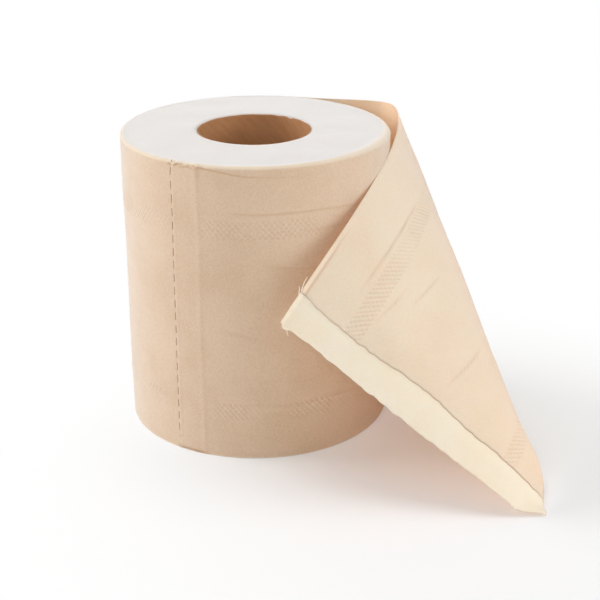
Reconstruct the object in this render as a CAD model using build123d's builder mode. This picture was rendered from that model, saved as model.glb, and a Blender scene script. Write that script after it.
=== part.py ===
"""Toilet paper roll: a cardboard core with one long strip of tissue wound on it, its loose end hanging off.

The origin is on the roll's axis at the base it stands on, +Z up the axis, +X towards the loose tail.
"""
import os
from collections import namedtuple
from math import cos, degrees, hypot, pi, radians, sin, tan

from build123d import *

# Wound roll, millimetres
roll_height = 105.0
roll_radius = 46.5
rim_bevel = 0.6

# Cardboard core
core_bore_radius = 19.25
core_wall = 0.6
core_glue_gap = 0.05

# Turns of the winding, as one spiral groove on each end face
turn_spacing = 3.6
turn_groove_width = 0.5
turn_groove_depth = 0.3
turn_land = 1.0

# Perforation down the outer turn, a row of short slits
slit_angle = 236.5
slit_spacing = 4.65
slit_length = 2.8
slit_width = 0.3
slit_depth = 0.3

# Loose tail: where it leaves the roll, how far its start lifts off, and its length along the top edge
tail_thickness = 0.4
tail_angle = 99.0
tail_lift = 4.0
tail_length = 181.3
tail_skew = 8.5
tail_inset = 0.3

# Bends of the tail in order from the roll: run of the top edge, radius, tilt of the bend lines at the far end.
# The last one, the free panel, bends as far as leaves its upper corner the gap from the roll's side.
back_run, back_radius, back_tilt = 55.0, 70.0, 97.5
corner_run, corner_radius, corner_tilt = 9.5, 10.35, 44.3
cone_run, cone_radius, cone_tilt = 8.6, 28.1, 45.9
corner_gap, panel_tilt = 12.3, 75.2
turn_a_line = 5.0
radius_step = 0.01

# Torn end: the outer ply stops short of the others, and both tears wander
ply_thickness = 0.15
ply_short = 11.5
ply_wander, ply_phase = 0.7, 1.3
end_wander, end_phase = 0.5, 0.4
slow_wave, fast_wave = 33.0, 7.6
slow_share, fast_share = 0.6, 0.4
tear_spacing = 4.0

# Helpers' reach past the sheet's end, and back along the bottom edge from its lower corner
spare = 6.0
corner_lead = 12.0

core_outer_radius = core_bore_radius + core_wall
web_inner_radius = core_outer_radius + core_glue_gap
strip_width = roll_height - 2 * tail_inset

BendLine = namedtuple("BendLine", "run top down normal tilt")


def tail_lines(panel_radius):
    """The straight lines that the tail bends about, from the roll outwards, down from its top edge."""
    bends = [
        (back_run, back_radius, back_tilt),
        (corner_run, corner_radius, corner_tilt),
        (cone_run, cone_radius, cone_tilt),
        (tail_length - back_run - corner_run - cone_run, panel_radius, panel_tilt),
        (spare, panel_radius, panel_tilt),
    ]
    outward = Vector(1, 0, 0).rotate(Axis.Z, tail_angle)
    top = outward * (roll_radius - tail_thickness) + Vector(0, 0, roll_height - tail_inset)
    along = outward.rotate(Axis.Z, tail_lift - 90)
    down = Vector(0, 0, -1)
    run, tilt = 0.0, 90.0
    lines = [BendLine(run, top, down, along.cross(down), tilt)]
    for length, radius, far_tilt in bends:
        steps = max(2, round(degrees(length / radius) / turn_a_line))
        step, near_tilt = length / steps, tilt
        for index in range(steps):
            middle_tilt = near_tilt + (far_tilt - near_tilt) * (index + 0.5) / steps
            bend = Axis((0, 0, 0), along * cos(radians(middle_tilt)) + down * sin(radians(middle_tilt)))
            turn = step / radius
            top += along.rotate(bend, degrees(turn / 2)) * (2 * radius * sin(turn / 2))
            along, down = along.rotate(bend, degrees(turn)), down.rotate(bend, degrees(turn))
            run += step
            tilt = near_tilt + (far_tilt - near_tilt) * (index + 1) / steps
            line = along * cos(radians(tilt)) + down * sin(radians(tilt))
            lines.append(BendLine(run, top, line, along.cross(down), tilt))
    return lines


def end_line(lines):
    """The bend line that starts at the torn end's upper corner."""
    return min(lines, key=lambda line: abs(line.run - tail_length))


def clear_panel_radius():
    """Radius of the free panel's bend, found by halving, at which its upper corner has its gap."""
    tight, slack = tail_length / pi, tail_length * pi
    while slack - tight > radius_step:
        middle = (tight + slack) / 2
        corner = end_line(tail_lines(middle)).top
        if hypot(corner.X, corner.Y) < roll_radius + corner_gap:
            tight = middle
        else:
            slack = middle
    return slack


def bottom_point(run):
    """Point on the strip's bottom edge, a given run from the roll, and the outward normal there."""
    reach = [line.run + strip_width / tan(radians(line.tilt)) for line in tail]
    past = next(i for i in range(1, len(tail)) if reach[i] > run)
    share = (run - reach[past - 1]) / (reach[past] - reach[past - 1])
    pair = tail[past - 1], tail[past]
    near, far = (line.top + line.down * (strip_width / sin(radians(line.tilt))) for line in pair)
    return near * (1 - share) + far * share, tail[past].normal


def torn_end():
    """Plane of the torn end: its origin is the upper corner, X points past the end and Y up the tear."""
    upper = end_line(tail)
    lower, lower_normal = bottom_point(tail_length + tail_skew)
    tear = (upper.top - lower).normalized()
    past_end = (lower_normal + upper.normal).cross(tear).normalized()
    return Plane(origin=upper.top, x_dir=past_end, z_dir=past_end.cross(tear))


def pressed_corner():
    """Outline of the lower corner, which would reach below the base and so lies folded out flat on it."""
    level = tail_thickness / 2
    starts = [end_plane.origin, bottom_point(tail_length + tail_skew - corner_lead)[0]]
    on_tear, on_edge = (
        start + (lower_corner - start) * ((start.Z - level) / (start.Z - lower_corner.Z)) for start in starts
    )
    upright = Vector(0, 0, 1)
    normal = (lower_corner - on_edge).cross(lower_corner - on_tear)
    fold = Axis((0, 0, 0), normal.cross(upright))
    tip = on_tear + (lower_corner - on_tear).rotate(fold, normal.get_angle(upright))
    return [(point.X, point.Y) for point in (on_tear, tip, on_edge)]


def sheet(outer):
    """The strip as a sheet lofted through its bend lines, from its inner side out to the given height."""
    inner = -tail_thickness / 2
    with BuildPart() as strip:
        for line in tail:
            length = strip_width / sin(radians(line.tilt))
            middle = line.top + line.down * (length / 2) + line.normal * ((inner + outer) / 2)
            with BuildSketch(Plane(origin=middle, x_dir=line.down, z_dir=line.down.cross(line.normal))):
                Rectangle(length, outer - inner)
        loft(ruled=True)
    return strip.part


def past_tear(short, wander, phase):
    """Block over all that lies past a tear, which runs short of the end line and wanders a little."""
    count = round((strip_width + 2 * spare) / tear_spacing)
    edge = []
    for index in range(count + 1):
        up = spare - (strip_width + 2 * spare) * index / count
        slow, fast = sin(2 * pi * up / slow_wave + phase), sin(2 * pi * up / fast_wave + 2 * phase)
        edge.append((wander * (slow_share * slow + fast_share * fast) - short, up))
    with BuildPart() as block:
        with BuildSketch(end_plane):
            with BuildLine():
                Polyline(*edge, (strip_width / 2, edge[-1][1]), (strip_width / 2, edge[0][1]), close=True)
            make_face()
        extrude(amount=strip_width / 4, both=True)
    return block.part


def turn_line(inward):
    """Draws one edge of the turns out to where the tail leaves, as quarter arcs that widen one by one."""
    widest = roll_radius - rim_bevel - turn_land
    growth = turn_spacing / 4
    quarters = int((widest - web_inner_radius - turn_land) / growth)
    narrowest = widest - growth * (quarters - 1)
    spoke = Vector(1, 0).rotate(Axis.Z, tail_angle + 90 * quarters)
    first = spoke * (narrowest - inward)
    start, heading = first, spoke.rotate(Axis.Z, -90)
    for quarter in range(quarters):
        arc = JernArc(start, heading, narrowest + growth * quarter - inward, -90)
        start, heading = arc @ 1, arc % 1
    return first, start


tail = tail_lines(clear_panel_radius())
end_plane = torn_end()
lower_corner = bottom_point(tail_length + tail_skew)[0]
slit_spoke = Vector(1, 0, 0).rotate(Axis.Z, slit_angle)
slit_count = int((roll_height - 2 * rim_bevel) / slit_spacing)
slit_middle = slit_spoke * roll_radius + Vector(0, 0, roll_height / 2)

with BuildPart() as core_tube:
    with BuildSketch():
        Circle(core_outer_radius)
        Circle(core_bore_radius, mode=Mode.SUBTRACT)
    extrude(amount=roll_height)
core_tube.part.label = "core_tube"

with BuildPart() as inner_plies_past_the_outer:
    add(sheet(tail_thickness / 2 - ply_thickness))
    add(past_tear(ply_short, ply_wander, ply_phase), mode=Mode.INTERSECT)
    add(past_tear(0, end_wander, end_phase), mode=Mode.SUBTRACT)

with BuildPart() as loose_tail:
    add(sheet(tail_thickness / 2))
    add(past_tear(ply_short, ply_wander, ply_phase), mode=Mode.SUBTRACT)
    add(inner_plies_past_the_outer)
    split(bisect_by=Plane.XY, keep=Keep.TOP)
    if lower_corner.Z < 0:
        with BuildSketch():
            with BuildLine():
                Polyline(*pressed_corner(), close=True)
            make_face()
        extrude(amount=tail_thickness)

with BuildPart() as tissue_web:
    with BuildSketch():
        Circle(roll_radius)
        Circle(web_inner_radius, mode=Mode.SUBTRACT)
    extrude(amount=roll_height)
    outer_rims = tissue_web.edges().filter_by(GeomType.CIRCLE).group_by(SortBy.RADIUS)[-1]
    chamfer(outer_rims, rim_bevel)
    for groove_top in (roll_height, turn_groove_depth):
        with BuildSketch(Plane.XY.offset(groove_top)):
            with BuildLine():
                outer_start, outer_end = turn_line(0)
                inner_start, inner_end = turn_line(turn_groove_width)
                Line(outer_start, inner_start)
                Line(outer_end, inner_end)
            make_face()
        extrude(amount=-turn_groove_depth, mode=Mode.SUBTRACT)
    with BuildSketch(Plane(origin=slit_middle, x_dir=(0, 0, 1), z_dir=slit_spoke)):
        with GridLocations(slit_spacing, slit_spacing, slit_count, 1):
            Rectangle(slit_length, slit_width)
    extrude(amount=-slit_depth, mode=Mode.SUBTRACT)
    add(loose_tail)
tissue_web.part.label = "tissue_web"

os.makedirs("parts", exist_ok=True)
export_step(core_tube.part, "parts/core_tube.step")
export_step(tissue_web.part, "parts/tissue_web.step")
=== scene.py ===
"""Dresses the toilet paper roll: its wound strip, loose torn tail and cardboard core, on a pale floor."""
from math import cos, degrees, pi, radians, sin

import bpy
import numpy as np
from mathutils import Matrix, Vector


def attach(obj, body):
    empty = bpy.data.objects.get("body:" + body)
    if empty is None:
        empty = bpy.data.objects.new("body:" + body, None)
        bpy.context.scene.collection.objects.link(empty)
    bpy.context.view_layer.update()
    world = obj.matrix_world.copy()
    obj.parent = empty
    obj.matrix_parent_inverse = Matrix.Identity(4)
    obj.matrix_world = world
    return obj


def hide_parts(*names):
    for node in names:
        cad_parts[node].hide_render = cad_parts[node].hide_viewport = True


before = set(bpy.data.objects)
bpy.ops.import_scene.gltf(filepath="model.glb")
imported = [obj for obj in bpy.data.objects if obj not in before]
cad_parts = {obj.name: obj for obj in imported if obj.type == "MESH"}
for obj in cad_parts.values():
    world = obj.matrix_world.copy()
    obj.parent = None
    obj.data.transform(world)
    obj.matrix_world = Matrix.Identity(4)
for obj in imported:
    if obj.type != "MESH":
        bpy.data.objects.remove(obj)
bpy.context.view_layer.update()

# Sizes in millimetres, the same as the part's source has
MM = 0.001
ROLL_HEIGHT, ROLL_RADIUS = 105.0, 46.5
BORE_RADIUS, CORE_WALL, GLUE_GAP = 19.25, 0.6, 0.05
WEB_INNER_RADIUS = BORE_RADIUS + CORE_WALL + GLUE_GAP
TAIL_INSET, TAIL_THICKNESS = 0.3, 0.4
STRIP_WIDTH = ROLL_HEIGHT - 2 * TAIL_INSET
TAIL_ANGLE, TAIL_LIFT = 99.0, 4.0
TAIL_LENGTH, TAIL_SKEW = 181.3, 8.5

# Bends of the tail, as in the source: run of the top edge, radius, and tilt of the bend lines at the far end
BACK_BEND, CORNER_BEND, CONE_BEND = (55.0, 70.0, 97.5), (9.5, 10.35, 44.3), (8.6, 28.1, 45.9)
PANEL_RADIUS, PANEL_TILT, SPARE = 72.35, 75.2, 6.0
PANEL_RUN = TAIL_LENGTH - BACK_BEND[0] - CORNER_BEND[0] - CONE_BEND[0]
PANEL_BENDS = [(PANEL_RUN, PANEL_RADIUS, PANEL_TILT), (SPARE, PANEL_RADIUS, PANEL_TILT)]

# The paper: half its thickness, the skin's inset in the roll's cylinder, and the drop of one turn to the next
PAPER_HALF, SKIN_INSET, WIND_DROP = 0.1, 0.08, 0.3

# The strip's two embossed bands, down from its top edge: their pattern's size, and its lean on roll and tail
BAND_MIDDLES, BAND_HALF, BAND_FADE = (21.5, 87.0), 3.6, 1.0
KNURL_ALONG, KNURL_ACROSS, KNURL_HEIGHT = 1.9, 2.2, 0.09
SIDE_LEAN, TAIL_LEAN = 0.15, 0.6

# Wear of the bands: nearly gone round one angle, patchy on the roll, and less so on the tail
WORN_ANGLE, WORN_REACH, WORN_SHARE = 240.0, 12.0, 0.85
PATCH_LENGTH, LEFT_ON_ROLL, LEFT_ON_TAIL, LEFT_RISE = 30.0, 0.25, 0.7, 40.0

# Rows of the meshes down the strip, as zones: their end, their step, and whether they have twice the points
RIM_ZONE = 2.6
TAIL_ROWS = [
    (3.0, 0.4, False), (14.0, 1.3, False), (17.6, 0.5, False), (25.4, 0.42, True), (29.5, 0.5, False),
    (32.5, 1.3, False), (38.0, 0.48, False), (55.5, 1.3, False), (63.0, 0.52, False), (83.1, 1.3, False),
    (90.9, 0.42, True), (100.0, 1.2, False), (STRIP_WIDTH, 0.7, False),
]
SIDE_ROWS = [
    (6.0, 0.3, False), (14.5, 1.0, False), (17.6, 0.35, False), (25.4, 0.42, True), (32.5, 1.0, False),
    (38.0, 0.4, False), (55.5, 1.0, False), (61.0, 0.5, False), (83.1, 1.0, False), (90.9, 0.42, True),
    (ROLL_HEIGHT - RIM_ZONE, 0.9, False),
]

# Millimetres on the strip to one unit of its map
MAP_UNIT = 100.0


# Smooth random fields and profiles

# A crease is this much narrower on its steep side, and this power shapes how it fades out at its ends
STEEP_SHARE, CREASE_FADE = 0.35, 0.6

# Darkness and half width of the shade painted in a groove, and how far up it lies on the roll's upright side
GROOVE_SHADE_SHARE, GROOVE_HALF, GROOVE_UP = 0.9, 0.5, 0.15


def ripple(x, y, seed, wavelength, across=1.0, waves=18):
    """Smooth noise of about unit size. Features are wavelength long, and across times as long along y."""
    rng = np.random.default_rng(seed)
    total = 0
    for _ in range(waves):
        way, size, phase = rng.uniform(0, 2 * pi), rng.uniform(0.6, 1.7), rng.uniform(0, 2 * pi)
        step = 2 * pi * size / wavelength
        total = total + np.cos(step * (cos(way) * x + sin(way) * y / across) + phase)
    return total / (waves / 2) ** 0.5


def smooth(low, high, x):
    """0 below low, 1 above high, and a soft step between them."""
    share = np.clip((x - low) / (high - low), 0, 1)
    return share * share * (3 - 2 * share)


def hump(x, half):
    """A soft hump of unit height about zero."""
    return np.exp(-((x / half) ** 2))


def crease(x, y, line, width, height):
    """A pressed wrinkle, steep on one side and gone at its ends. A groove has a height below 0."""
    best, total = np.full(np.shape(x), np.inf), np.zeros(np.shape(x))
    pairs = list(zip(line[:-1], line[1:]))
    for number, ((start_x, start_y), (end_x, end_y)) in enumerate(pairs):
        dx, dy = end_x - start_x, end_y - start_y
        share = ((x - start_x) * dx + (y - start_y) * dy) / (dx * dx + dy * dy)
        share = np.clip(share, 0, 1)
        gap = np.hypot(x - start_x - share * dx, y - start_y - share * dy)
        gentle = (x - start_x) * dy > (y - start_y) * dx
        reach = np.where(gentle, width, width * STEEP_SHARE)
        own = height * hump(gap, reach) * np.sin(pi * (number + share) / len(pairs)) ** CREASE_FADE
        total, best = np.where(gap < best, own, total), np.minimum(gap, best)
    return total


def crease_heights(x, y, creases):
    """All of some creases together."""
    return sum(crease(x, y, line, width, height) for line, width, height in creases)


def groove_shades(x, y, creases):
    """The shade painted into the grooves among some creases."""
    depths = (-crease(x, y, line, GROOVE_HALF, height) for line, _, height in creases)
    return GROOVE_SHADE_SHARE * sum(np.maximum(depth, 0) for depth in depths)


def knurl(run, down, lean):
    """The two knurled bands: crossed diagonal ribs, of which one set is stronger by the given lean."""
    total = 0
    for middle in BAND_MIDDLES:
        fade = smooth(BAND_HALF, BAND_HALF - BAND_FADE, np.abs(down - middle))
        one = np.cos(2 * pi * (run / KNURL_ALONG + down / KNURL_ACROSS))
        other = np.cos(2 * pi * (run / KNURL_ALONG - down / KNURL_ACROSS))
        total = total + fade * ((1 + lean) * one + (1 - lean) * other) / 2
    return total * KNURL_HEIGHT


def run_at(angle):
    """Run along the strip of a place on the outer turn, which comes before the tail's start."""
    return -np.radians(angle - TAIL_ANGLE) * ROLL_RADIUS


def band_wear(run, down):
    """How much of the bands' pattern is left."""
    least = LEFT_ON_ROLL + (LEFT_ON_TAIL - LEFT_ON_ROLL) * smooth(0, LEFT_RISE, run)
    patches = least + (1 - least) * smooth(-0.6, 0.6, ripple(run, down, 23, PATCH_LENGTH, across=5.0))
    return patches * (1 - WORN_SHARE * hump(run - run_at(WORN_ANGLE), WORN_REACH))


# Meshes


def between(values):
    """The same closed ring of values with the middle of each step added, for a ring of twice the points."""
    after = np.roll(values, -1, axis=0)
    return np.stack([values, (values + after) / 2], 1).reshape(2 * len(values), *values.shape[1:])


def joined(rings, loop=False):
    """Faces between stacked rings of points, where a ring may have twice the points of the next one."""
    starts = np.cumsum([0] + [len(ring) for ring in rings])
    pairs = list(zip(range(len(rings) - 1), range(1, len(rings))))
    faces = []
    for one, other in pairs + [(len(rings) - 1, 0)] * loop:
        low, high, size, next_size = starts[one], starts[other], len(rings[one]), len(rings[other])
        here = np.arange(min(size, next_size))
        after = (here + 1) % min(size, next_size)
        middle, far = 2 * here + 1, (2 * here + 2) % max(size, next_size)
        if size == next_size:
            corners = [[low + here, low + after, high + after, high + here]]
        elif size < next_size:
            corners = [[low + here, low + after, high + middle]]
            corners += [[low + here, high + middle, high + 2 * here]]
            corners += [[low + after, high + far, high + middle]]
        else:
            corners = [[low + 2 * here, low + middle, high + here]]
            corners += [[low + middle, low + far, high + after]]
            corners += [[low + middle, high + after, high + here]]
        for points in corners:
            faces += np.stack(points, 1).tolist()
    return faces


def body(name, points, faces, uv, turn=0.0, **facts):
    """A mesh from points in millimetres. Its map closes after a turn, and facts are values at the points."""
    mesh = bpy.data.meshes.new(name)
    mesh.from_pydata((points * MM).tolist(), [], faces)
    sizes = np.array([len(face) for face in faces])
    corners = uv[np.concatenate(faces)]
    if turn:
        starts, along = np.cumsum(sizes) - sizes, corners[:, 0]
        width = np.maximum.reduceat(along, starts) - np.minimum.reduceat(along, starts)
        across_seam = np.repeat(width, sizes) > abs(turn) / 2
        corners[:, 0] += turn * (across_seam & (np.abs(along) < abs(turn) / 2))
    mesh.uv_layers.new(name="strip").data.foreach_set("uv", corners.astype(np.float32).ravel())
    for key, values in facts.items():
        mesh.attributes.new(key, "FLOAT", "POINT").data.foreach_set("value", values.astype(np.float32))
    mesh.shade_smooth()
    obj = bpy.data.objects.new(name, mesh)
    bpy.context.scene.collection.objects.link(obj)
    return obj


def rows_to(start, zones):
    """Places of the rows, and which of them have twice the points."""
    rows = []
    for stop, step, twice in zones:
        count = max(2, round((stop - start) / step))
        rows += [(at, twice) for at in np.linspace(start, stop, count, endpoint=False)]
        start = stop
    return rows + [(start, False)]


# Camera first, at the photograph's place

camera = bpy.data.objects.new("camera", bpy.data.cameras.new("camera"))
bpy.context.scene.collection.objects.link(camera)
CAMERA_PLACE, CAMERA_PITCH, CAMERA_ROLL = (15.784, -461.546, 232.895), radians(22.665), radians(0.099)
SENSOR_WIDTH, LENS, NEAREST, FARTHEST = 36.0, 82.05, 0.02, 20.0
flat_right, flat_up = Vector((1, 0, 0)), Vector((0, sin(CAMERA_PITCH), cos(CAMERA_PITCH)))
right = flat_right * cos(CAMERA_ROLL) - flat_up * sin(CAMERA_ROLL)
up = flat_right * sin(CAMERA_ROLL) + flat_up * cos(CAMERA_ROLL)
facing = Matrix((right, up, right.cross(up))).transposed().to_4x4()
camera.matrix_world = Matrix.Translation(Vector(CAMERA_PLACE) * MM) @ facing
camera.data.sensor_width, camera.data.lens = SENSOR_WIDTH, LENS
camera.data.clip_start, camera.data.clip_end = NEAREST, FARTHEST
bpy.context.scene.camera = camera


# The wound roll: its outer turn with both rims, and the end faces

# Radius of the soft top rim: its least, how much it widens, at which angle and how far round, and its waver
RIM_LEAST, RIM_WIDENING, RIM_WIDEST, RIM_REACH = 1.0, 1.2, 325.0, 0.33
RIM_WAVER, RIM_WAVES, RIM_PHASE = 0.12, 5, 2.0

# The base's rim as a share of the top one, and the steps that round a rim
BASE_RIM, RIM_STEPS = 0.4, 9

# The outer turn's bulge at the right front, and its soft unevenness, slow and fast
BULGE, BULGE_ANGLE, BULGE_REACH = 1.2, 350.0, 0.4
SLOW_SIZE, SLOW_LENGTH, SLOW_ROUND, SLOW_SLANT = 0.09, 36.0, 40.0, 0.5
FAST_SIZE, FAST_LENGTH = 0.02, 14.0

# The perforation: its angle, its sway at some heights, and its slits, with the height of one slit's middle
SLIT_ANGLE, SWAY_HEIGHTS = 236.4, [0, 30, 56, 85, 92, 100, 104]
SWAYS = [-0.75, -0.7, -0.65, -0.35, -0.4, -0.7, -0.2]
SLIT_SPACING, SLIT_LENGTH, SLIT_HALF, SLITS_FROM = 4.65, 2.8, 0.11, 4.0
SLIT_PLACE = (ROLL_HEIGHT + SLIT_SPACING) / 2
SLIT_DEPTH, SLIT_GROOVE, RAISE, RAISE_OFF, RAISE_HALF = 0.15, 0.22, 0.08, 0.9, 0.7

# The slits are where a wave with their spacing is above this value, give or take its softness
SLIT_BEAT, BEAT_SOFTNESS = cos(pi * SLIT_LENGTH / SLIT_SPACING), 0.2

# The soft ridge beside the perforation, and the shallow dip past it
RIDGE_ANGLE, RIDGE_HEIGHT, RIDGE_HALF, RIDGE_SWAY, RIDGE_WAVE = 248.0, 0.12, 0.9, 0.25, 9.0
DIP_DEPTH, DIP_START, DIP_END = 0.08, (-0.5, 2.5), (16.0, 5.0)

# The edge that shows under the top rim: angles and heights along it, the angles it fades at, and its step
EDGE_LINE = [(248.0, 103.9), (256.2, 103.3), (267.3, 101.8), (283.4, 101.2), (300, 101.0)]
EDGE_START, EDGE_END, EDGE_DARK_END = (247.2, 249.0), (312.0, 285.0), (288.0, 255.0)
EDGE_STEP, EDGE_SOFTNESS, EDGE_FADE = 0.4, 0.15, 9.0

# Bits torn off the top rim and a tuck at the base, near the perforation's ends: their angles and depths
BITS_START, BITS_END, BITS_REACH, BITS_DEPTH = (231.0, 236.0), (253.0, 248.0), (2.2, 1.2), 0.35
TUCK_START, TUCK_END, TUCK_REACH, TUCK_DEPTH = (234.0, 237.0), (254.0, 245.0), (1.8, 0.2), 0.8

# How dark the painted shade at the edge line, the torn bits and the tuck is, and where that shade comes and
# goes
EDGE_SHADE, BITS_SHADE, TUCK_SHADE = 0.8, 0.5, 0.8
EDGE_SHADE_DROP, EDGE_SHADE_HALF, BITS_SHADE_REACH, TUCK_SHADE_REACH = 0.1, 0.28, (0.3, 0.8), (1.5, 0.5)

# Wrinkles of the outer turn, each as its line of angles and heights, its width and its height
ROLL_CREASES = [
    ([(259, 89.6), (270, 89.0), (290, 88.9), (303, 88.7), (320, 87.6)], 1.0, -0.5),
    ([(272, 71.6), (285, 70.2), (301, 68.6)], 1.0, -0.30),
    ([(258, 48.4), (274, 45.0)], 1.0, -0.25),
    ([(270, 20.2), (285, 19.4), (293, 19.8), (304, 20.5), (320, 19.2)], 0.9, 0.45),
    ([(293, 82.4), (315, 82.2)], 0.9, -0.25),
    ([(262, 81.0), (274, 79.6)], 0.9, -0.20),
    ([(200, 47.5), (222, 46.3)], 1.2, -0.16),
    ([(385, 70.5), (420, 69.0)], 1.2, -0.25),
    ([(120, 46.0), (158, 48.0)], 1.2, 0.22),
    ([(150, 71.0), (190, 69.5)], 1.1, -0.20),
]
ARC_CREASES = [
    ([(radians(angle) * ROLL_RADIUS, z) for angle, z in line], width, height)
    for line, width, height in ROLL_CREASES
]

# Steps of the mesh round the roll, and how far beside the perforation and the ridge they are finer
TURN_STEP, SLIT_ZONE, RIDGE_ZONE = 1.0, 1.8, 2.5

# The end faces: rings across them, spacing and height of the turns' edges, unevenness, and dip at the core
END_RINGS, EDGES_SPACING, EDGES_HEIGHT = 46, 1.5, 0.02
UNEVEN, UNEVEN_LENGTH, CORE_DIP = 0.08, 26.0, 0.3


def rim_size(angle):
    """Radius of the soft rim round the roll: crisp at the left front, wide at the right front."""
    around = np.radians(angle)
    widening = RIM_WIDENING * hump(np.sin((around - radians(RIM_WIDEST)) / 2), RIM_REACH)
    return RIM_LEAST + widening + RIM_WAVER * np.cos(RIM_WAVES * around + RIM_PHASE)


def rim_fall(depth, rim):
    """How far a rounded rim lies inside the full radius, at a depth below the end face."""
    share = np.clip(1 - depth / rim, 0, 1)
    return rim * (1 - np.sqrt(1 - share * share))


def off_perforation(angle, z):
    """Distance round the roll from the perforation, which sways a little on its way down."""
    return np.radians(angle - SLIT_ANGLE) * ROLL_RADIUS - np.interp(z, SWAY_HEIGHTS, SWAYS)


def slit_height(angle, z):
    """The slits' grooves, and the paper raised along one side of them."""
    off = off_perforation(angle, z)
    beat = np.cos(2 * pi * (z - SLIT_PLACE) / SLIT_SPACING)
    dash = smooth(SLIT_BEAT - BEAT_SOFTNESS, SLIT_BEAT + BEAT_SOFTNESS, beat)
    dash = dash * smooth(SLITS_FROM, SLITS_FROM + 2, z)
    return RAISE * hump(off - RAISE_OFF, RAISE_HALF) - SLIT_DEPTH * hump(off, SLIT_GROOVE) * dash


def ridge_height(arc, z):
    """The ridge beside the perforation and the dip past it."""
    off = arc - radians(RIDGE_ANGLE) * ROLL_RADIUS - RIDGE_SWAY * np.sin(z / RIDGE_WAVE)
    return RIDGE_HEIGHT * hump(off, RIDGE_HALF) - DIP_DEPTH * smooth(*DIP_START, off) * smooth(*DIP_END, off)


def above_edge(angle, z):
    """Height above the edge line under the top rim."""
    return z - np.interp(angle, *zip(*EDGE_LINE))


def edge_height(angle, z):
    """The step down to the turn below, under the edge line."""
    above = above_edge(angle, z)
    shown = smooth(*EDGE_START, angle) * smooth(*EDGE_END, angle)
    return -EDGE_STEP * shown * smooth(EDGE_SOFTNESS, -EDGE_SOFTNESS, above) * smooth(-EDGE_FADE, 0, above)


def torn_bits(angle, z):
    """Where bits of the outer turn are torn off along the top rim beside the perforation."""
    place = smooth(*BITS_START, angle) * smooth(*BITS_END, angle) * smooth(*BITS_REACH, ROLL_HEIGHT - z)
    return place * smooth(0.0, 0.5, ripple(np.radians(angle) * ROLL_RADIUS, z, 24, 2.4, across=0.5))


def tuck(angle, high, low, z):
    """Where the outer turn is tucked in at the base, from all of it below low to none above high."""
    return smooth(*TUCK_START, angle) * smooth(*TUCK_END, angle) * smooth(high, low, z)


def side_swell(angle, z):
    """The slow part of the outer turn's height: its drop to the turn below, its bulge and its unevenness."""
    around = np.radians(angle)
    drop = WIND_DROP * (angle - TAIL_ANGLE) / 360
    height = BULGE * hump(np.sin((around - radians(BULGE_ANGLE)) / 2), BULGE_REACH) - drop
    x, y = np.cos(around) * SLOW_ROUND + z * SLOW_SLANT, np.sin(around) * SLOW_ROUND
    height = height + SLOW_SIZE * ripple(x, y, 21, SLOW_LENGTH)
    return height + FAST_SIZE * ripple(around * ROLL_RADIUS, z, 22, FAST_LENGTH, across=0.4)


def side_height(angle, z):
    """How far the outer turn's paper stands off the roll's cylinder."""
    arc, run, down = np.radians(angle) * ROLL_RADIUS, run_at(angle), ROLL_HEIGHT - z
    height = side_swell(angle, z) + band_wear(run, down) * knurl(run, down, SIDE_LEAN)
    height = height + crease_heights(arc, z, ARC_CREASES) + ridge_height(arc, z)
    height = height + slit_height(angle, z) + edge_height(angle, z)
    return height - BITS_DEPTH * torn_bits(angle, z) - TUCK_DEPTH * tuck(angle, *TUCK_REACH, z)


def painted_side_shade(angle, z):
    """The shade painted into the outer turn's grooves: at its edge line, torn bits, tuck and wrinkles."""
    edge = smooth(*EDGE_START, angle) * smooth(*EDGE_DARK_END, angle)
    edge = edge * hump(above_edge(angle, z) + EDGE_SHADE_DROP, EDGE_SHADE_HALF)
    bits = torn_bits(angle, z) * smooth(*BITS_SHADE_REACH, ROLL_HEIGHT - z)
    gap = EDGE_SHADE * edge + BITS_SHADE * bits + TUCK_SHADE * tuck(angle, *TUCK_SHADE_REACH, z)
    return np.clip(gap + groove_shades(np.radians(angle) * ROLL_RADIUS, z - GROOVE_UP, ARC_CREASES), 0, 1)


def turn_angles():
    """Angles round the outer turn, closer together at the perforation and the ridge."""
    out, angle = [], TAIL_ANGLE
    while angle < TAIL_ANGLE + 360 - TURN_STEP / 4:
        out.append(angle)
        near_slits, near_ridge = abs(angle - SLIT_ANGLE) < SLIT_ZONE, abs(angle - RIDGE_ANGLE) < RIDGE_ZONE
        angle += TURN_STEP / 5 if near_slits else TURN_STEP / 2 if near_ridge else TURN_STEP
    return np.array(out)


ANGLES = turn_angles()
RIM_SIZES = rim_size(ANGLES)


def side_row(part, place, angle):
    """Radius and height of one row of the outer turn. In a rim its place is an angle of the rounding."""
    rim = rim_size(angle) * (BASE_RIM if part == "base" else 1)
    if part == "side":
        share, base = (place - RIM_ZONE) / (ROLL_HEIGHT - 2 * RIM_ZONE), rim * BASE_RIM
        depth, z = rim, base + share * (ROLL_HEIGHT - rim - base)
    else:
        depth = rim * (1 - cos(place))
        z = depth if part == "base" else ROLL_HEIGHT - depth
    fall = rim_fall(depth, rim)
    return ROLL_RADIUS - SKIN_INSET - fall + side_height(angle, z) * np.sqrt(1 - fall / rim), z


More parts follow.
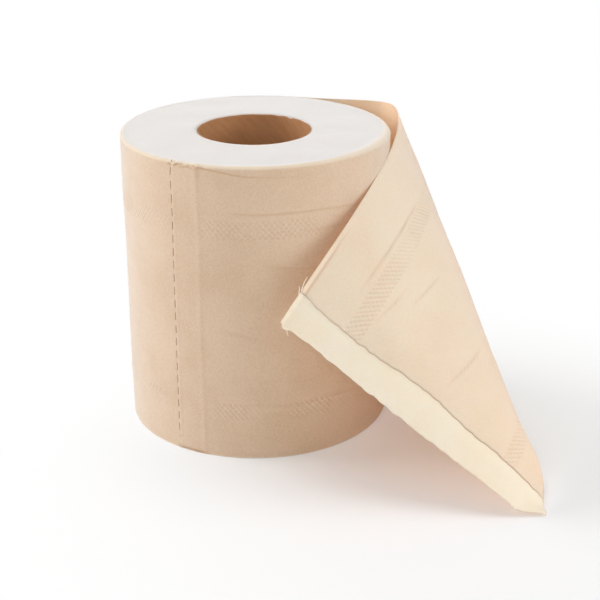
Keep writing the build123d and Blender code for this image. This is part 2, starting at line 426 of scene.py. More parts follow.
def make_outer_turn():
    """The side of the roll from rim to rim."""
    rims = [(place, False) for place in np.linspace(0, pi / 2, RIM_STEPS)[:-1]]
    side = [(ROLL_HEIGHT - down, twice) for down, twice in rows_to(RIM_ZONE, SIDE_ROWS)]
    rows = [("base", *row) for row in rims] + [("side", *row) for row in side[::-1]]
    rows += [("top", *row) for row in rims[::-1]]
    rings, uv, marks = [], [], []
    for part, place, twice in rows:
        angle = between(np.append(ANGLES, TAIL_ANGLE + 360))[:-2] if twice else ANGLES
        radius, z = side_row(part, place, angle)
        around, run, down = np.radians(angle), run_at(angle), ROLL_HEIGHT - z
        rings.append(np.stack([radius * np.cos(around), radius * np.sin(around), z], 1))
        uv.append(np.stack([run, down], 1) / MAP_UNIT)
        # The gap fact is painted shade, at grooves, the edge line, torn bits and the tuck
        marks.append(np.stack([off_perforation(angle, z), painted_side_shade(angle, z), band_wear(run, down)], 1))
    turn = -2 * pi * ROLL_RADIUS / MAP_UNIT
    facts = dict(zip(("off_slit", "gap", "wear"), np.concatenate(marks).T))
    return body("outer_turn", np.concatenate(rings), joined(rings), np.concatenate(uv), turn, **facts)


def make_end_faces():
    """Both end faces, a little uneven with the turns' edges in them, and the bore's wall between them."""
    around, shares, rings = np.radians(ANGLES), np.linspace(0, 1, END_RINGS), []
    for top in (False, True):
        for share in shares if top else shares[::-1]:
            rim = RIM_SIZES * (1 if top else BASE_RIM)
            radius = WEB_INNER_RADIUS + share * (ROLL_RADIUS - SKIN_INSET - rim - WEB_INNER_RADIUS)
            x, y = radius * np.cos(around), radius * np.sin(around)
            edges = np.cos(2 * pi * (radius / EDGES_SPACING + ANGLES / 360))
            edges = edges * (0.5 + 0.5 * ripple(x, y, 33, 18.0))
            clouds = np.clip(ripple(x, y, 31 + top, UNEVEN_LENGTH), -1, 1)
            dip = UNEVEN * (1 + clouds) + EDGES_HEIGHT * (1 + edges)
            dip = dip * smooth(1.0, 0.94, share) + CORE_DIP * smooth(0.04, 0.0, share)
            rings.append(np.stack([x, y, ROLL_HEIGHT - dip if top else dip], 1))
    points = np.concatenate(rings)
    return body("end_faces", points, [face[::-1] for face in joined(rings)], points[:, :2] / MAP_UNIT)


# The loose tail: the flat strip carried onto its bend lines

# The torn end and the outer ply's tear, each as its run at some ways down, and the free corner's rounding
END_DOWN = [0, 5, 14.5, 23.5, 33, 42, 51.5, 60.5, 69.5, 79, 88.5, 97.5, 104.4]
END_RUN = [183.6, 182.0, 182.5, 183.3, 184.3, 185.0, 185.8, 186.4, 187.0, 187.6, 188.2, 188.9, 189.6]
PLY_DOWN = [0, 8.5, 16.5, 25, 33.5, 41.5, 50, 58, 66, 74.5, 83, 92, 104.4]
PLY_RUN = [169.4, 171.0, 172.3, 173.1, 173.4, 173.2, 173.5, 174.4, 175.9, 176.8, 177.0, 177.6, 178.3]
CORNER_CUT, CORNER_REACH = 2.4, 1.2

# Wrinkles of the tail, each as its line of runs and ways down, its width and its height
TAIL_CREASES = [
    ([(112, 18.0), (125, 17.2), (140, 16.6), (158, 15.8)], 0.9, -0.38),
    ([(148, 28.6), (155, 27.4), (164, 25.6)], 0.8, -0.24),
    ([(145, 62.0), (156, 59.5), (169, 56.0)], 0.9, -0.30),
    ([(133, 36.9), (143, 35.0), (152, 33.0)], 0.8, -0.26),
    ([(98, 0.3), (98.6, 4.5)], 0.7, 0.30),
    ([(60, 40.0), (66, 62.0), (70, 80.0)], 2.0, 0.25),
]

# A dent and a swell in the panel: height, and middle and half width along the run and down
PANEL_SWELLS = [(-1.6, 151, 11, 42, 8), (0.8, 164, 6, 33, 10)]

# The rolled top edge and the groove under it, with the runs at which they come and go
ROLLED_HEIGHT, ROLLED_HALF, ROLLED_START = 0.7, 0.9, (125.0, 162.0)
GROOVE_DOWN, GROOVE_DEPTH, GROOVE_WIDTH = 1.7, 0.25, 0.45
GROOVE_START, GROOVE_END = (146.0, 158.0), (176.0, 170.0)
# The shade painted in that groove: the runs at which it comes and goes, its half width and its darkness
SHADE_START, SHADE_END, SHADE_HALF, SHADE_SHARE = (138.0, 158.0), (178.0, 168.0), 0.35, 0.45

# Columns of the mesh before and after the outer ply's tear, with the steps beside the start and the tear
TAIL_COLUMNS, END_COLUMNS, START_STEP, TEAR_STEP, PAST_TEAR = 236, 20, 0.05, 0.15, 0.4

# The outer ply's lip at its tear: height, how far it is hollow, how far back it rises, and the shade painted
# under it
LIP_HEIGHT, LIP_REACH, LIP_RISE, LIP_SHADE = 0.18, 0.5, 4.0, 0.6

# Share of the inner plies' colour on the tail's back, where the sheet has no outer ply's colour
BACK_SHARE = 0.6

# The tip's place on the floor, how far round it the tail is moved there, and the tail's least height
TIP_PLACE, TIP_REACH, LEAST_HEIGHT = np.array([94.1, -84.4, 0.15]), 9.0, 0.02

# Sways of the lower edge, each as its size, run and half width, and the way down from which they show
EDGE_SWAYS, SWAY_DOWN = [(1.7, 163, 6), (-1.3, 176, 5)], 80.0

# The tail's start keeps close to the roll: its gap there, where it is reached, and where the tail goes free
CLING_LEFT, CLING_RISE, CLING_START, CLING_END = 0.7, 14.0, 22.0, 56.0

# Loose fibres at the torn corner, as points with their run, way down and height
FIBRES = [
    [(170.2, 0.4, 0.3), (168.4, -0.3, 0.6), (166.4, -0.8, 0.9), (164.6, -0.9, 0.9)],
    [(171.2, 0.2, 0.2), (170.0, -0.4, 0.5), (169.0, -1.0, 0.5), (168.5, -1.5, 0.3)],
    [(181.2, 3.0, 0.1), (182.6, 3.3, 0.3), (183.4, 4.0, 0.2), (183.7, 4.8, 0.0)],
]

# The mesh of a fibre, its radius and its taper from ring to ring, and a direction that no fibre runs in
FIBRE_SIDES, FIBRE_RINGS, FIBRE_RADIUS, FIBRE_TAPER = 6, 13, 0.2, 0.011
ASLANT = (0.3, 0.2, 0.9)


def turned(vector, axis, angle):
    """A vector turned about an axis."""
    return np.array(Matrix.Rotation(angle, 3, Vector(axis)) @ Vector(vector))


def bend_lines(turn=0.5):
    """Run, top point, direction down, normal and tilt of each line that the tail bends about."""
    outward = np.array([cos(radians(TAIL_ANGLE)), sin(radians(TAIL_ANGLE)), 0])
    top = outward * (ROLL_RADIUS - TAIL_THICKNESS) + np.array([0, 0, ROLL_HEIGHT - TAIL_INSET])
    along, down = turned(outward, (0, 0, 1), radians(TAIL_LIFT - 90)), np.array([0, 0, -1.0])
    run, tilt = 0.0, 90.0
    lines = [(run, top, down, np.cross(along, down), radians(tilt))]
    for length, radius, far_tilt in (BACK_BEND, CORNER_BEND, CONE_BEND, *PANEL_BENDS):
        steps = max(2, round(degrees(length / radius) / turn))
        step, near_tilt = length / steps, tilt
        for index in range(steps):
            middle = radians(near_tilt + (far_tilt - near_tilt) * (index + 0.5) / steps)
            bend, angle = along * cos(middle) + down * sin(middle), step / radius
            top = top + turned(along, bend, angle / 2) * (2 * radius * sin(angle / 2))
            along, down = turned(along, bend, angle), turned(down, bend, angle)
            run += step
            tilt = near_tilt + (far_tilt - near_tilt) * (index + 1) / steps
            line = along * cos(radians(tilt)) + down * sin(radians(tilt))
            lines.append((run, top, line, np.cross(along, down), radians(tilt)))
    return [np.array(column) for column in zip(*lines)]


RUNS, TOPS, LINES, NORMALS, TILTS = bend_lines()


def on_tail(run, down):
    """Points and outward normals of the tail's middle surface, at one way down."""
    run = np.atleast_1d(run)
    place = np.interp(run, RUNS + down / np.tan(TILTS), np.arange(len(RUNS)))
    low = np.clip(np.floor(place).astype(int), 0, len(RUNS) - 2)
    share = (place - low)[:, None]
    top, line, normal = (each[low] * (1 - share) + each[low + 1] * share for each in (TOPS, LINES, NORMALS))
    tilt = np.interp(place, np.arange(len(RUNS)), TILTS)
    return top + line * (down / np.sin(tilt))[:, None], normal


def set_down(middle, run, down):
    """The tail with its lower corner, which would reach below the floor, brought to where it stands."""
    past = on_tail(TAIL_LENGTH + TAIL_SKEW, STRIP_WIDTH)[0][0]
    near = smooth(TIP_REACH, 0, np.hypot(run - TAIL_LENGTH - TAIL_SKEW, down - STRIP_WIDTH))
    sway = sum(size * hump(run - at, half) for size, at, half in EDGE_SWAYS)
    sway = sway * smooth(SWAY_DOWN, STRIP_WIDTH, down)
    return middle + near[:, None] * (TIP_PLACE - past) + sway[:, None] * np.array([1, 0, 0])


def tear_runs(down):
    """Run of the torn end and of the outer ply's tear, at one way down."""
    end = np.interp(down, END_DOWN, END_RUN) - CORNER_CUT * hump(down, CORNER_REACH)
    end = end + 0.10 * ripple(down, 0, 11, 4.4) + 0.05 * ripple(down, 0, 12, 1.6)
    ply = np.interp(down, PLY_DOWN, PLY_RUN)
    return end, ply + 0.14 * ripple(down, 0, 13, 5.6) + 0.03 * ripple(down, 0, 14, 1.7)


def painted_tail_shade(run, down):
    """The shade painted into the tail's grooves."""
    shown = smooth(*SHADE_START, run) * smooth(*SHADE_END, run)
    return SHADE_SHARE * shown * hump(down - GROOVE_DOWN, SHADE_HALF) + groove_shades(run, down, TAIL_CREASES)


def held_to_roll(middle, run, down):
    """What brings the tail's start level with the outer turn, and keeps it near the roll for a while."""
    rim, z = rim_size(TAIL_ANGLE), ROLL_HEIGHT - TAIL_INSET - down
    fall = rim_fall(ROLL_HEIGHT - z, rim) + rim_fall(z, rim * BASE_RIM)
    flush = TAIL_THICKNESS - SKIN_INSET - PAPER_HALF - fall + side_swell(TAIL_ANGLE, z)
    off_roll = np.hypot(*middle.T[:2]) - (ROLL_RADIUS - TAIL_THICKNESS)
    cling = np.maximum(off_roll - CLING_LEFT * smooth(0, CLING_RISE, run), 0)
    return (flush - cling) * smooth(CLING_END, CLING_START, run)


def tail_height(middle, run, down, ply, end):
    """How far the tail's paper stands off its smooth bent surface."""
    free = smooth(8, 40, run)
    height = free * (0.16 * ripple(run, down, 3, 55.0) + 0.03 * ripple(run, down, 4, 15.0, across=0.5))
    height = height + band_wear(run, down) * knurl(run, down, TAIL_LEAN) * smooth(0.5, -0.5, run - ply)
    height = height + crease_heights(run, down, TAIL_CREASES)
    for size, at, half, at_down, half_down in PANEL_SWELLS:
        height = height + size * hump(run - at, half) * hump(down - at_down, half_down)
    height = height + ROLLED_HEIGHT * smooth(*ROLLED_START, run) * hump(down, ROLLED_HALF)
    grooved = smooth(*GROOVE_START, run) * smooth(*GROOVE_END, run)
    height = height - GROOVE_DEPTH * grooved * hump(down - GROOVE_DOWN, GROOVE_WIDTH)
    height = height + 0.10 * smooth(10, 0, end - run) * ripple(run * 0.4, down, 5, 9.0)
    return height + held_to_roll(middle, run, down)


def tail_ring(down):
    """One ring round the tail: along its outer face, under the torn lip to the end, and back inside.

    A point has its run, its height off the middle surface, its share of the inner plies' colour and a painted
    shade.
    """
    end, ply = tear_runs(down)
    main = np.concatenate([[0.0], np.linspace(START_STEP, ply - TEAR_STEP, TAIL_COLUMNS - 1)])
    tip = ply + PAST_TEAR + np.linspace(0, 1, END_COLUMNS)[1:] * (end - ply - PAST_TEAR)
    under = [ply - LIP_REACH, ply - LIP_REACH + START_STEP, ply + TEAR_STEP, ply + PAST_TEAR]
    run = np.concatenate([main, [ply], under, tip])
    lip = LIP_HEIGHT * (1 + 0.2 * ripple(down, 0, 15, 7.0))
    lip = lip * (0.4 + 0.6 * smooth(STRIP_WIDTH, STRIP_WIDTH - 5, down))
    rise = PAPER_HALF + (lip + 0.1 - PAPER_HALF) * smooth(LIP_RISE, 0.0, ply - main)
    out = np.concatenate([rise, [lip, lip / 2, 0.0, 0.0, 0.0], np.zeros(len(tip))])
    beside_tear = [ply - 0.1, ply, ply + START_STEP, ply + TEAR_STEP, ply + PAST_TEAR]
    back = np.concatenate([main, beside_tear, tip])[::-1]
    inner_ply = np.concatenate([np.zeros(len(main) + 1), np.ones(len(tip) + 4)])
    painted_lip_shade = np.concatenate([np.zeros(len(main) + 1), np.full(3, LIP_SHADE), np.zeros(len(tip) + 1)])
    gap = painted_lip_shade + painted_tail_shade(run, down) * (1 - inner_ply)
    columns = np.stack([
        np.concatenate([run, back]),
        np.concatenate([out, np.full(len(back), -PAPER_HALF)]),
        np.concatenate([inner_ply, np.full(len(back), BACK_SHARE)]),
        np.concatenate([gap, np.zeros(len(back))]),
    ], 1)
    return columns, ply, end


def make_tail():
    """The tail as one closed thin sheet."""
    rings, uv, marks = [], [], []
    for down, twice in rows_to(0.0, TAIL_ROWS):
        columns, ply, end = tail_ring(down)
        run, out, inner_ply, gap = (between(columns) if twice else columns).T
        middle, normal = on_tail(run, down)
        height = tail_height(middle, run, down, ply, end) * smooth(-2, 4, middle[:, 2])
        ring = set_down(middle, run, down) + normal * (out + height)[:, None]
        ring[:, 2] = np.maximum(ring[:, 2], LEAST_HEIGHT)
        rings.append(ring)
        uv.append(np.stack([run, np.full(run.shape, down)], 1) / MAP_UNIT)
        # The gap fact is painted shade, in grooves and under the torn lip
        marks.append(np.stack([inner_ply, gap, band_wear(run, down)], 1))
    facts = dict(zip(("inner_ply", "gap", "wear"), np.concatenate(marks).T))
    faces = joined(rings)
    for start, flip in ((0, 1), (sum(len(ring) for ring in rings[:-1]), -1)):
        last = len(rings[0]) - 1
        for index in range((last + 1) // 2 - 1):
            edge = (index, last - index, last - 1 - index, index + 1)
            faces.append([start + corner for corner in edge][::flip])
    return body("loose_tail", np.concatenate(rings), faces, np.concatenate(uv), **facts)


def make_fibres():
    """A few loose fibres at the torn corner, as thin tapered threads."""
    points, faces = [], []
    around = np.arange(FIBRE_SIDES) * 2 * pi / FIBRE_SIDES
    for fibre in FIBRES:
        line, rings = [], []
        for place in np.linspace(0, len(fibre) - 1, FIBRE_RINGS):
            run, down, out = (np.interp(place, range(len(fibre)), values) for values in zip(*fibre))
            middle, normal = on_tail(run, down)
            line.append((middle + normal * (PAPER_HALF + out))[0])
        for number, way in enumerate(np.gradient(np.array(line), axis=0)):
            way = way / np.linalg.norm(way)
            side = np.cross(way, ASLANT)
            side = side / np.linalg.norm(side)
            circle = np.outer(np.cos(around), side) + np.outer(np.sin(around), np.cross(way, side))
            rings.append(line[number] + (FIBRE_RADIUS - FIBRE_TAPER * number) * circle)
        first, last = len(points), len(points) + FIBRE_SIDES * (FIBRE_RINGS - 1)
        faces += [[first + corner for corner in face] for face in joined(rings)]
        faces += [[first + corner for corner in range(FIBRE_SIDES)][::-1]]
        faces += [[last + corner for corner in range(FIBRE_SIDES)]]
        points += list(np.concatenate(rings))
    points = np.array(points)
    return body("loose_fibres", points, faces, points[:, :2] / MAP_UNIT)


# The core: wound card with a spiral seam, and a rim that is a little ragged and nicked

# Rise of the seam in one turn, and the card's lap at the seam: height, reach and the groove before it
CORE_LEAD, LAP_HEIGHT, LAP_REACH, LAP_GROOVE, LAP_SHARE, LAP_LEAN = 120.0, 0.10, 12.0, 0.08, 0.8, 0.7

# The rim: how far it lies below the end face, its waver, its softness, and the nick in it
RIM_SUNK, RIM_RAGGED, RIM_SOFT, NICK_ANGLE, NICK_HALF, NICK_DEPTH = 0.4, 0.03, 0.10, 51.5, 2.5, 0.4

# The mesh: sides round the core, rows up it, the inner face's inset, and where the outer face is on the map
CORE_SIDES, CORE_ROWS, CORE_INSET, OUTER_MAP = 150, 70, 0.1, 220.0


def make_core():
    """The card tube, up its inner face and down its outer one."""
    angles = np.linspace(0, 360, CORE_SIDES + 1)[:-1]
    around = np.radians(angles)
    ragged = np.clip(RIM_RAGGED * ripple(np.cos(around) * 19, np.sin(around) * 19, 41, 6.0), -0.1, 0.05)
    ragged = ragged - NICK_DEPTH * hump(angles - NICK_ANGLE, NICK_HALF) - RIM_SUNK
    rows = np.linspace(1.0, ROLL_HEIGHT - 1, CORE_ROWS)
    rows = np.concatenate([[0.0, 0.2], rows, [ROLL_HEIGHT - 0.2, ROLL_HEIGHT]])
    rings, uv = [], []
    for inside in (True, False):
        for z in rows if inside else rows[::-1]:
            turns = (angles - NICK_ANGLE) / 360 + (ROLL_HEIGHT - z) / CORE_LEAD
            seam = ((turns + 0.5) % 1.0 - 0.5) * CORE_LEAD * LAP_LEAN
            lap = LAP_HEIGHT * smooth(-0.5, 0.2, seam) * smooth(LAP_REACH, 0.5, seam)
            lap = lap - LAP_GROOVE * hump(seam, 0.5)
            edge = RIM_SOFT * (smooth(0.5, 0.0, ROLL_HEIGHT - z) + smooth(0.5, 0.0, z))
            inner = BORE_RADIUS + CORE_INSET - LAP_SHARE * lap + edge
            radius = inner if inside else np.full(around.shape, BORE_RADIUS + CORE_WALL - edge)
            lifted = z + ragged * smooth(ROLL_HEIGHT - 3, ROLL_HEIGHT, z)
            rings.append(np.stack([radius * np.cos(around), radius * np.sin(around), lifted], 1))
            up_map = np.full(around.shape, z if inside else OUTER_MAP - z)
            uv.append(np.stack([around * BORE_RADIUS, up_map], 1) / MAP_UNIT)
    faces = [face[::-1] for face in joined(rings, loop=True)]
    turn = 2 * pi * BORE_RADIUS / MAP_UNIT
    return body("core", np.concatenate(rings), faces, np.concatenate(uv), turn)


outer_turn, end_faces = make_outer_turn(), make_end_faces()
loose_tail, loose_fibres, core = make_tail(), make_fibres(), make_core()


# Materials

# Colours as six hex digits: each finish has a base and a darker one that it mottles to
SIDE_COLOURS, TAIL_COLOURS, PLY_COLOURS = ("DBC2A8", "CDAF90"), ("F8FEEE", "F0F0D8"), ("FFFCEA", "FFF4D8")
FIBRE_COLOURS, END_COLOURS, CARD_COLOURS = ("FFF6E6", "FBE9CC"), ("DBD5D0", "D6CEC8"), ("BA885E", "AF7E55")
# Painted light among these: the rims' highlight, and the shade in the slits, emboss pits, grooves and gaps
RIM_HIGHLIGHT_COLOUR, SLIT_SHADE_COLOUR, PIT_SHADE_COLOUR, GAP_SHADE_COLOUR = "F0E2CC", "7E4C30", "BE976F", "BC8B5E"
GLOW_COLOUR, FLECK_COLOUR = "FFC66C", "8A6040"

# Shares of those colours where they show (the pits', gaps' and slits' being painted shade), and of the light
# that a single layer lets through
PIT_SHADE_SHARE, GAP_SHADE_SHARE, SLIT_SHADE_SHARE, PLY_SHARE, SEE_THROUGH = 0.2, 0.9, 0.75, 0.9, 0.34

# The cream rims, a painted highlight on the rounded top rim and the same pale colour along the base: their
# share and the ways down between which they fade, at the top and at the base
TOP_RIM_HIGHLIGHT, BOTTOM_RIM = (0.2, 1.4, 0.7, 0.0), (ROLL_HEIGHT - 0.9, ROLL_HEIGHT - 0.2, 0.0, 0.6)


def shade(hexcode):
    """A colour written as six hex digits, as the shader wants it."""
    parts = [int(hexcode[at : at + 2], 16) / 255 for at in (0, 2, 4)]
    return (*(part / 12.92 if part <= 0.04045 else ((part + 0.055) / 1.055) ** 2.4 for part in parts), 1.0)


class Wiring:
    """A material's or the world's node tree, with short calls to add and join its nodes."""

    def __init__(self, owner):
        self.owner = owner
        owner.use_nodes = True
        self.tree = owner.node_tree
        self.tree.nodes.clear()

    def put(self, socket, value):
        """Gives a socket a value, or joins it to another node's output."""
        if isinstance(value, bpy.types.NodeSocket):
            self.tree.links.new(value, socket)
        else:
            socket.default_value = value

    def node(self, kind, inputs=None, **settings):
        """A new node."""
        new = self.tree.nodes.new("ShaderNode" + kind)
        for key, value in settings.items():
            setattr(new, key, value)
        for key, value in (inputs or {}).items():
            self.put(new.inputs[key], value)
        return new

    def add(self, kind, inputs=None, **settings):
        """The first output of a new node."""
        return self.node(kind, inputs, **settings).outputs[0]

    def math(self, operation, *values):
        """The result of a sum."""
        return self.add("Math", dict(enumerate(values)), operation=operation)

    def step(self, value, low, high, start=0.0, stop=1.0):
        """A soft step from start to stop while the value goes from low to high."""
        ends = {"From Min": low, "From Max": high, "To Min": start, "To Max": stop}
        return self.add("MapRange", {"Value": value, **ends}, interpolation_type="SMOOTHSTEP")

    def noise(self, vector, scale, detail, roughness):
        """Cloudy noise between 0 and 1."""
        sizes = {"Scale": scale, "Detail": detail, "Roughness": roughness}
        outputs = self.node("TexNoise", {"Vector": vector, **sizes}).outputs
        return outputs["Factor" if "Factor" in outputs else "Fac"]

    def blend(self, share, one, other):
        """A mix of two colours, with a share of the other."""
        new = self.node("Mix", data_type="RGBA")
        for key, value in (("Factor", share), ("A", one), ("B", other)):
            self.put(new.inputs[key], value)
        return new.outputs["Result"]

    def fact(self, name):
        """A value that the mesh has at its points."""
        return self.node("Attribute", attribute_name=name).outputs["Fac"]

    def place(self):
        """The place on the object."""
        return self.node("TexCoord").outputs["Object"]


def strip_map(net):
    """Run and way down on the strip in millimetres, for the shader."""
    outputs = net.node("SeparateXYZ", {0: net.add("UVMap", uv_map="strip")}).outputs
    return [net.math("MULTIPLY", outputs[axis], MAP_UNIT) for axis in (0, 1)]


def knurl_shade(net, run, down, lean):
    """The embossed pattern again for the shader, from -1 in its pits to 1 on its ribs."""
    along = net.math("MULTIPLY", run, 2 * pi / KNURL_ALONG)
    across = net.math("MULTIPLY", down, 2 * pi / KNURL_ACROSS)
    one = net.math("MULTIPLY", net.math("COSINE", net.math("ADD", along, across)), (1 + lean) / 2)
    other = net.math("COSINE", net.math("SUBTRACT", along, across))
    both = net.math("MULTIPLY_ADD", other, (1 - lean) / 2, one)
    off_middles = [net.math("ABSOLUTE", net.math("SUBTRACT", down, middle)) for middle in BAND_MIDDLES]
    bands = [net.step(off, BAND_HALF - BAND_FADE, BAND_HALF, 1.0, 0.0) for off in off_middles]
    return net.math("MULTIPLY", both, net.math("ADD", *bands))


def slit_shade(net, down):
    """Where shade is painted into the perforation's slits: 1 in them and 0 beside them."""
    z = net.math("SUBTRACT", ROLL_HEIGHT, down)
    wave = net.math("MULTIPLY", net.math("SUBTRACT", z, SLIT_PLACE), 2 * pi / SLIT_SPACING)
    beat = net.math("COSINE", wave)
    dash = net.step(beat, SLIT_BEAT - BEAT_SOFTNESS, SLIT_BEAT + BEAT_SOFTNESS)
    dash = net.math("MULTIPLY", dash, net.step(z, SLITS_FROM, SLITS_FROM + 1))
    near = net.step(net.math("ABSOLUTE", net.fact("off_slit")), SLIT_HALF, SLIT_HALF * 2, 1.0, 0.0)
    return net.math("MULTIPLY", near, dash)


def paper(name, colours, lean=None, rims=False, slits=False, loose=False):
    """Soft crepe tissue: cloudy colour, fine fibres, crepe lines across the strip, and marks with painted
    shade and highlights.
    """
    net = Wiring(bpy.data.materials.new(name))
    place, (run, down) = net.place(), strip_map(net)
    clouds = net.step(net.noise(place, 60.0, 4.0, 0.55), 0.35, 0.75)
    fibres = net.noise(place, 1500.0, 3.0, 0.6)
    lines = {0: net.math("MULTIPLY", run, 4.2), 1: net.math("MULTIPLY", down, 0.6)}
    crepe = net.noise(net.add("CombineXYZ", lines), 1.0, 3.0, 0.6)
    grain = net.step(fibres, 0.25, 0.75)
    mottle = net.math("MULTIPLY_ADD", grain, 0.6, net.math("MULTIPLY", clouds, 0.4))
    colour = net.blend(mottle, *map(shade, colours))
    height = net.math("MULTIPLY_ADD", crepe, 0.6, net.math("MULTIPLY", fibres, 0.4))
    if loose:
        free, inner = net.step(run, 8.0, CLING_END), net.fact("inner_ply")
        colour = net.blend(free, net.blend(mottle, *map(shade, SIDE_COLOURS)), colour)
        plies = net.blend(mottle, *map(shade, PLY_COLOURS))
        colour = net.blend(net.math("MULTIPLY", inner, PLY_SHARE), colour, plies)
    # Painted highlight: the rounded top rim, and the base's rim too, are coloured paler than the side
    if rims:
        edges = [net.step(down, *TOP_RIM_HIGHLIGHT), net.step(down, *BOTTOM_RIM)]
        colour = net.blend(net.math("ADD", *edges), colour, shade(RIM_HIGHLIGHT_COLOUR))
    if lean is not None:
        ribs = net.math("MULTIPLY", knurl_shade(net, run, down, lean), net.fact("wear"))
        if loose:
            ribs = net.math("MULTIPLY", ribs, net.math("SUBTRACT", 1.0, inner))
        # Painted shade: the embossed pits are coloured darker than the ribs
        colour = net.blend(net.step(ribs, -0.8, -0.1, PIT_SHADE_SHARE, 0.0), colour, shade(PIT_SHADE_COLOUR))
        height = net.math("MULTIPLY_ADD", ribs, 0.5, height)
        # Painted shade: grooves, gaps, the edge line and the line under the torn lip are coloured darker
        gap = net.math("MULTIPLY", net.fact("gap"), GAP_SHADE_SHARE)
        colour = net.blend(gap, colour, shade(GAP_SHADE_COLOUR))
    # Painted shade: the perforation's slits are coloured dark brown
    if slits:
        painted_slit_shade = net.math("MULTIPLY", slit_shade(net, down), SLIT_SHADE_SHARE)
        colour = net.blend(painted_slit_shade, colour, shade(SLIT_SHADE_COLOUR))
    normal = net.add("Bump", {"Strength": 0.7, "Distance": 0.0002, "Height": height})
    look = {"Base Color": colour, "Normal": normal, "Roughness": 0.9, "Specular IOR Level": 0.12}
    surface = net.add("BsdfPrincipled", {**look, "Sheen Weight": 0.8, "Sheen Roughness": 0.5})
    if loose:
        through = net.add("BsdfTranslucent", {"Color": shade(GLOW_COLOUR), "Normal": normal})
        clear = net.math("MULTIPLY", free, net.step(inner, BACK_SHARE, 1.0, SEE_THROUGH, 0.5 * SEE_THROUGH))
        surface = net.add("MixShader", {0: clear, 1: surface, 2: through})
    net.node("OutputMaterial", {"Surface": surface})
    return net.owner


def cardboard(name, colours):
    """Grey-brown card with flecks, and soft streaks along its winding."""
    net = Wiring(bpy.data.materials.new(name))
    place, (around, up) = net.place(), strip_map(net)
    slant = net.math("MULTIPLY_ADD", up, -2 * pi * BORE_RADIUS / CORE_LEAD, around)
    streaks = net.add("CombineXYZ", {0: slant, 1: net.math("MULTIPLY", up, 0.3)})
    streaks = net.noise(streaks, 0.35, 4.0, 0.6)
    flecks = net.noise(place, 900.0, 3.0, 0.7)
    colour = net.blend(net.step(streaks, 0.3, 0.7), *map(shade, colours))
    colour = net.blend(net.step(flecks, 0.5, 0.8, 0.0, 0.3), colour, shade(FLECK_COLOUR))
    height = net.math("MULTIPLY_ADD", streaks, 0.5, net.math("MULTIPLY", flecks, 0.5))
    normal = net.add("Bump", {"Strength": 0.4, "Distance": 0.00015, "Height": height})
    look = {"Base Color": colour, "Normal": normal, "Roughness": 0.75, "Specular IOR Level": 0.25}
    net.node("OutputMaterial", {"Surface": net.add("BsdfPrincipled", look)})
    return net.owner


tissue_side = paper("tissue_side", SIDE_COLOURS, lean=SIDE_LEAN, rims=True, slits=True)
tissue_tail = paper("tissue_tail", TAIL_COLOURS, lean=TAIL_LEAN, loose=True)
tissue_fibre = paper("tissue_fibre", FIBRE_COLOURS)
tissue_ends = paper("tissue_ends", END_COLOURS)
card = cardboard("card", CARD_COLOURS)

for piece, finish, slot, node in (
    (outer_turn, tissue_side, "tissue", "tissue_web"),
    (loose_tail, tissue_tail, "tissue", "tissue_web"),
    (loose_fibres, tissue_fibre, "tissue", "tissue_web"),
    (end_faces, tissue_ends, "tissue", "tissue_web"),
    (core, card, "cardboard", "core_tube"),
):
    piece.data.materials.append(finish)
    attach(piece, "root")
    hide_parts(node)


# Floor, lamps and world

# The world's light, the floor's half width and grey, the lamps' width and aim, and each one's place and power
ROOM_LIGHT, FLOOR_HALF, FLOOR_GREY = 0.3, 4.0, (0.93, 0.93, 0.93, 1)
WHITE, LAMP_WIDTH, LAMP_AIM = (1, 1, 1, 1), 1.3, (0.02, 0, 0.05)
LAMPS = {
    "overhead": ((-0.1, 0.35, 1.9), 7.0),
    "left_box": ((-1.9, 0.35, 0.8), 26.0),
    "right_box": ((1.9, -0.2, 0.9), 21.5),
    "front_box": ((-0.5, -1.85, 0.9), 13.5),
}

# The floor is lifted to white outside the shadow: the shadow's middle, and where the lift starts and ends
SHADOW_PLACE, LIFT_START, LIFT_END = (0.08, -0.07, 0.0), 0.04, 0.17
LEAST_LIFT, MOST_LIFT = 0.12, 1.0


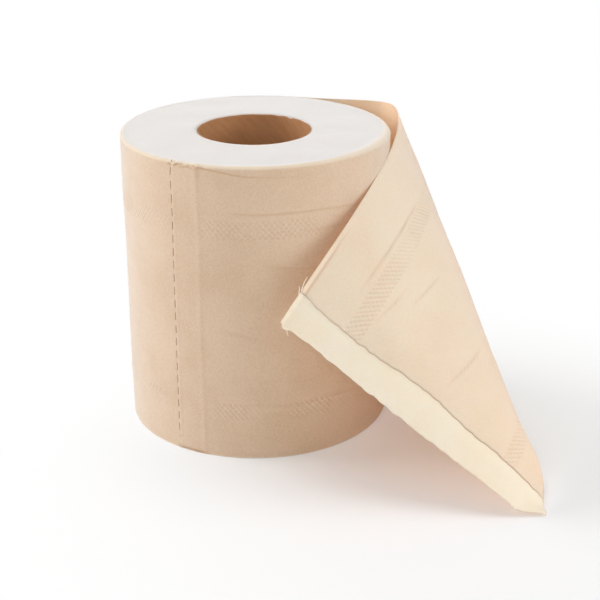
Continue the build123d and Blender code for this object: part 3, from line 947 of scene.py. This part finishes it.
def seen_directly(net):
    """1 where the camera sees a surface itself, in gloss or through something clear, and 0 for its light."""
    rays = net.node("LightPath").outputs
    either = net.math("MAXIMUM", rays["Is Camera Ray"], rays["Is Glossy Ray"])
    return net.math("MAXIMUM", either, rays["Is Transmission Ray"])


corners = [(-FLOOR_HALF, -FLOOR_HALF, 0), (FLOOR_HALF, -FLOOR_HALF, 0)]
corners += [(FLOOR_HALF, FLOOR_HALF, 0), (-FLOOR_HALF, FLOOR_HALF, 0)]
floor_mesh = bpy.data.meshes.new("floor")
floor_mesh.from_pydata(corners, [], [(0, 1, 2, 3)])
floor = bpy.data.objects.new("floor", floor_mesh)
bpy.context.scene.collection.objects.link(floor)
net = Wiring(bpy.data.materials.new("floor"))
matt = net.add("BsdfPrincipled", {"Base Color": FLOOR_GREY, "Roughness": 0.8, "Specular IOR Level": 0.1})
bright = net.add("Emission", {"Color": WHITE, "Strength": 1.0})
floor_place = net.node("NewGeometry").outputs["Position"]
away = net.node("VectorMath", {0: floor_place, 1: SHADOW_PLACE}, operation="DISTANCE").outputs["Value"]
lift = net.step(away, LIFT_START, LIFT_END, LEAST_LIFT, MOST_LIFT)
share = net.math("MULTIPLY", seen_directly(net), lift)
net.node("OutputMaterial", {"Surface": net.add("MixShader", {0: share, 1: matt, 2: bright})})
floor_mesh.materials.append(net.owner)

bpy.context.scene.world = bpy.data.worlds.new("studio")
net = Wiring(bpy.context.scene.world)
room = net.add("Background", {"Color": WHITE, "Strength": ROOM_LIGHT})
white = net.add("Background", {"Color": WHITE, "Strength": 1.0})
net.node("OutputWorld", {"Surface": net.add("MixShader", {0: seen_directly(net), 1: room, 2: white})})

for name, (place, power) in LAMPS.items():
    light = bpy.data.lights.new(name, "AREA")
    light.shape, light.size, light.energy = "DISK", LAMP_WIDTH, power
    lamp = bpy.data.objects.new(name, light)
    bpy.context.scene.collection.objects.link(lamp)
    lamp.location = place
    lamp.rotation_euler = (Vector(LAMP_AIM) - Vector(place)).to_track_quat("-Z", "Y").to_euler()

bpy.context.scene.view_settings.view_transform = "Standard"

bpy.context.view_layer.update()
